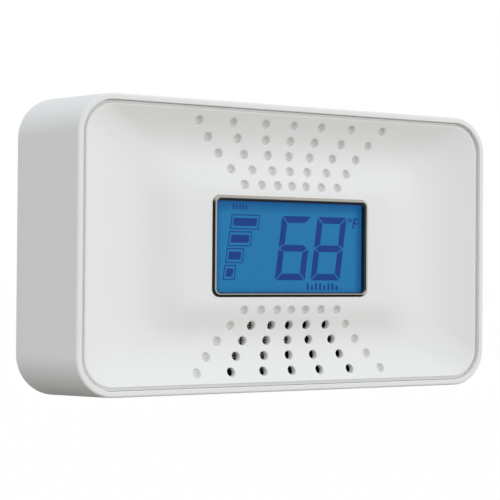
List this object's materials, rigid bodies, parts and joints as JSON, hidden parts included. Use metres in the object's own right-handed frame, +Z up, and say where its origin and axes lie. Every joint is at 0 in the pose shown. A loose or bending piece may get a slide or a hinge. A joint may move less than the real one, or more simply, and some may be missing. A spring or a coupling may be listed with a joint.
{
  "type": "carbon monoxide alarm",
  "caption": "Rounded rectangular wall or table gas alarm with a dished, perforated front, a lit digital display, a test button on top and keyholes at the back.",
  "frame": {"origin": "centre of the bounding box at its lowest level: the middle of the width and of the depth, at the lowest edge of the drafted underside", "axes": "+Z up; the display and its perforated panel face -Y; +X to the right as seen by a person who reads the display"},
  "size_m": [0.1222, 0.033, 0.0742],
  "materials": {
    "shell": "moulded ABS, fine satin skin",
    "panel": "moulded ABS, satin",
    "cover": "moulded ABS, fine spark texture",
    "trim": "bright plated ABS",
    "black_plastic": "moulded, matte",
    "window": "clear polycarbonate",
    "polariser": "film",
    "display_glass": "thin glass",
    "segments": "dark lit segments",
    "diffuser": "frosted film, lit blue",
    "light_guide": "clear acrylic",
    "white_plastic": "moulded white plastic",
    "lamp": "clear epoxy",
    "strip_rubber": "silicone with carbon layers",
    "screen": "woven nylon mesh",
    "board": "solder mask over glass epoxy",
    "chip": "moulded epoxy",
    "steel": "drawn or plated steel",
    "capacitor": "printed sleeve, bare top",
    "ferrite": "ferrite and copper winding",
    "brass": "rolled sheet",
    "gold": "gold plated",
    "cell": "can in a printed shrink sleeve",
    "lead": "insulated wire",
    "button": "moulded ABS, satin",
    "slider": "moulded, satin",
    "lead_black": "insulated wire",
    "label": "blank printed film"
  },
  "bodies": {
    "alarm": {"housing": "shell", "front_panel": "panel", "rear_cover": "cover", "display_bezel": "trim", "display_shroud": "black_plastic", "display_window": "window", "front_polariser": "polariser", "front_glass": "display_glass", "display_segments": "segments", "rear_glass": "display_glass", "rear_polariser": "polariser", "diffuser": "diffuser", "light_guide": "light_guide", "reflector": "white_plastic", "backlight_lamps": "lamp", "display_frame": "white_plastic", "contact_strips": "strip_rubber", "dust_screen": "screen", "main_board": "board", "microcontroller": "chip", "sensor_amplifier": "chip", "crystal": "steel", "capacitors": "capacitor", "resistors": "chip", "horn_coil": "ferrite", "horn_cup": "white_plastic", "piezo_disc": "brass", "horn_contacts": "gold", "co_sensor": "steel", "sensor_cap": "black_plastic", "sensor_pins": "gold", "battery_upper": "cell", "battery_lower": "cell", "battery_tabs": "steel", "battery_cradle": "cover", "battery_connector": "white_plastic", "battery_leads": "lead", "test_switch": "black_plastic", "activation_switch": "black_plastic", "switch_leads": "lead_black", "case_screws": "steel", "board_screws": "steel", "rating_label": "label"},
    "button": {"test_button": "button"},
    "plunger": {"switch_plunger": "white_plastic"},
    "slider": {"activation_slider": "slider"}
  },
  "joints": [
    {"name": "button_press", "type": "slide", "parent": "alarm", "child": "button", "axis": [0, 0, -1], "range_m": [0, 0.0006], "stiffness_N_per_m": 1500},
    {"name": "plunger_press", "type": "slide", "parent": "alarm", "child": "plunger", "axis": [0, 0, -1], "range_m": [0, 0.0006]},
    {"name": "activation_slide", "type": "slide", "parent": "alarm", "child": "slider", "axis": [1, 0, 0], "range_m": [0, 0.004]}
  ],
  "couplings": [
    {"joint": "plunger_press", "follows": "button_press", "ratio": 1}
  ]
}
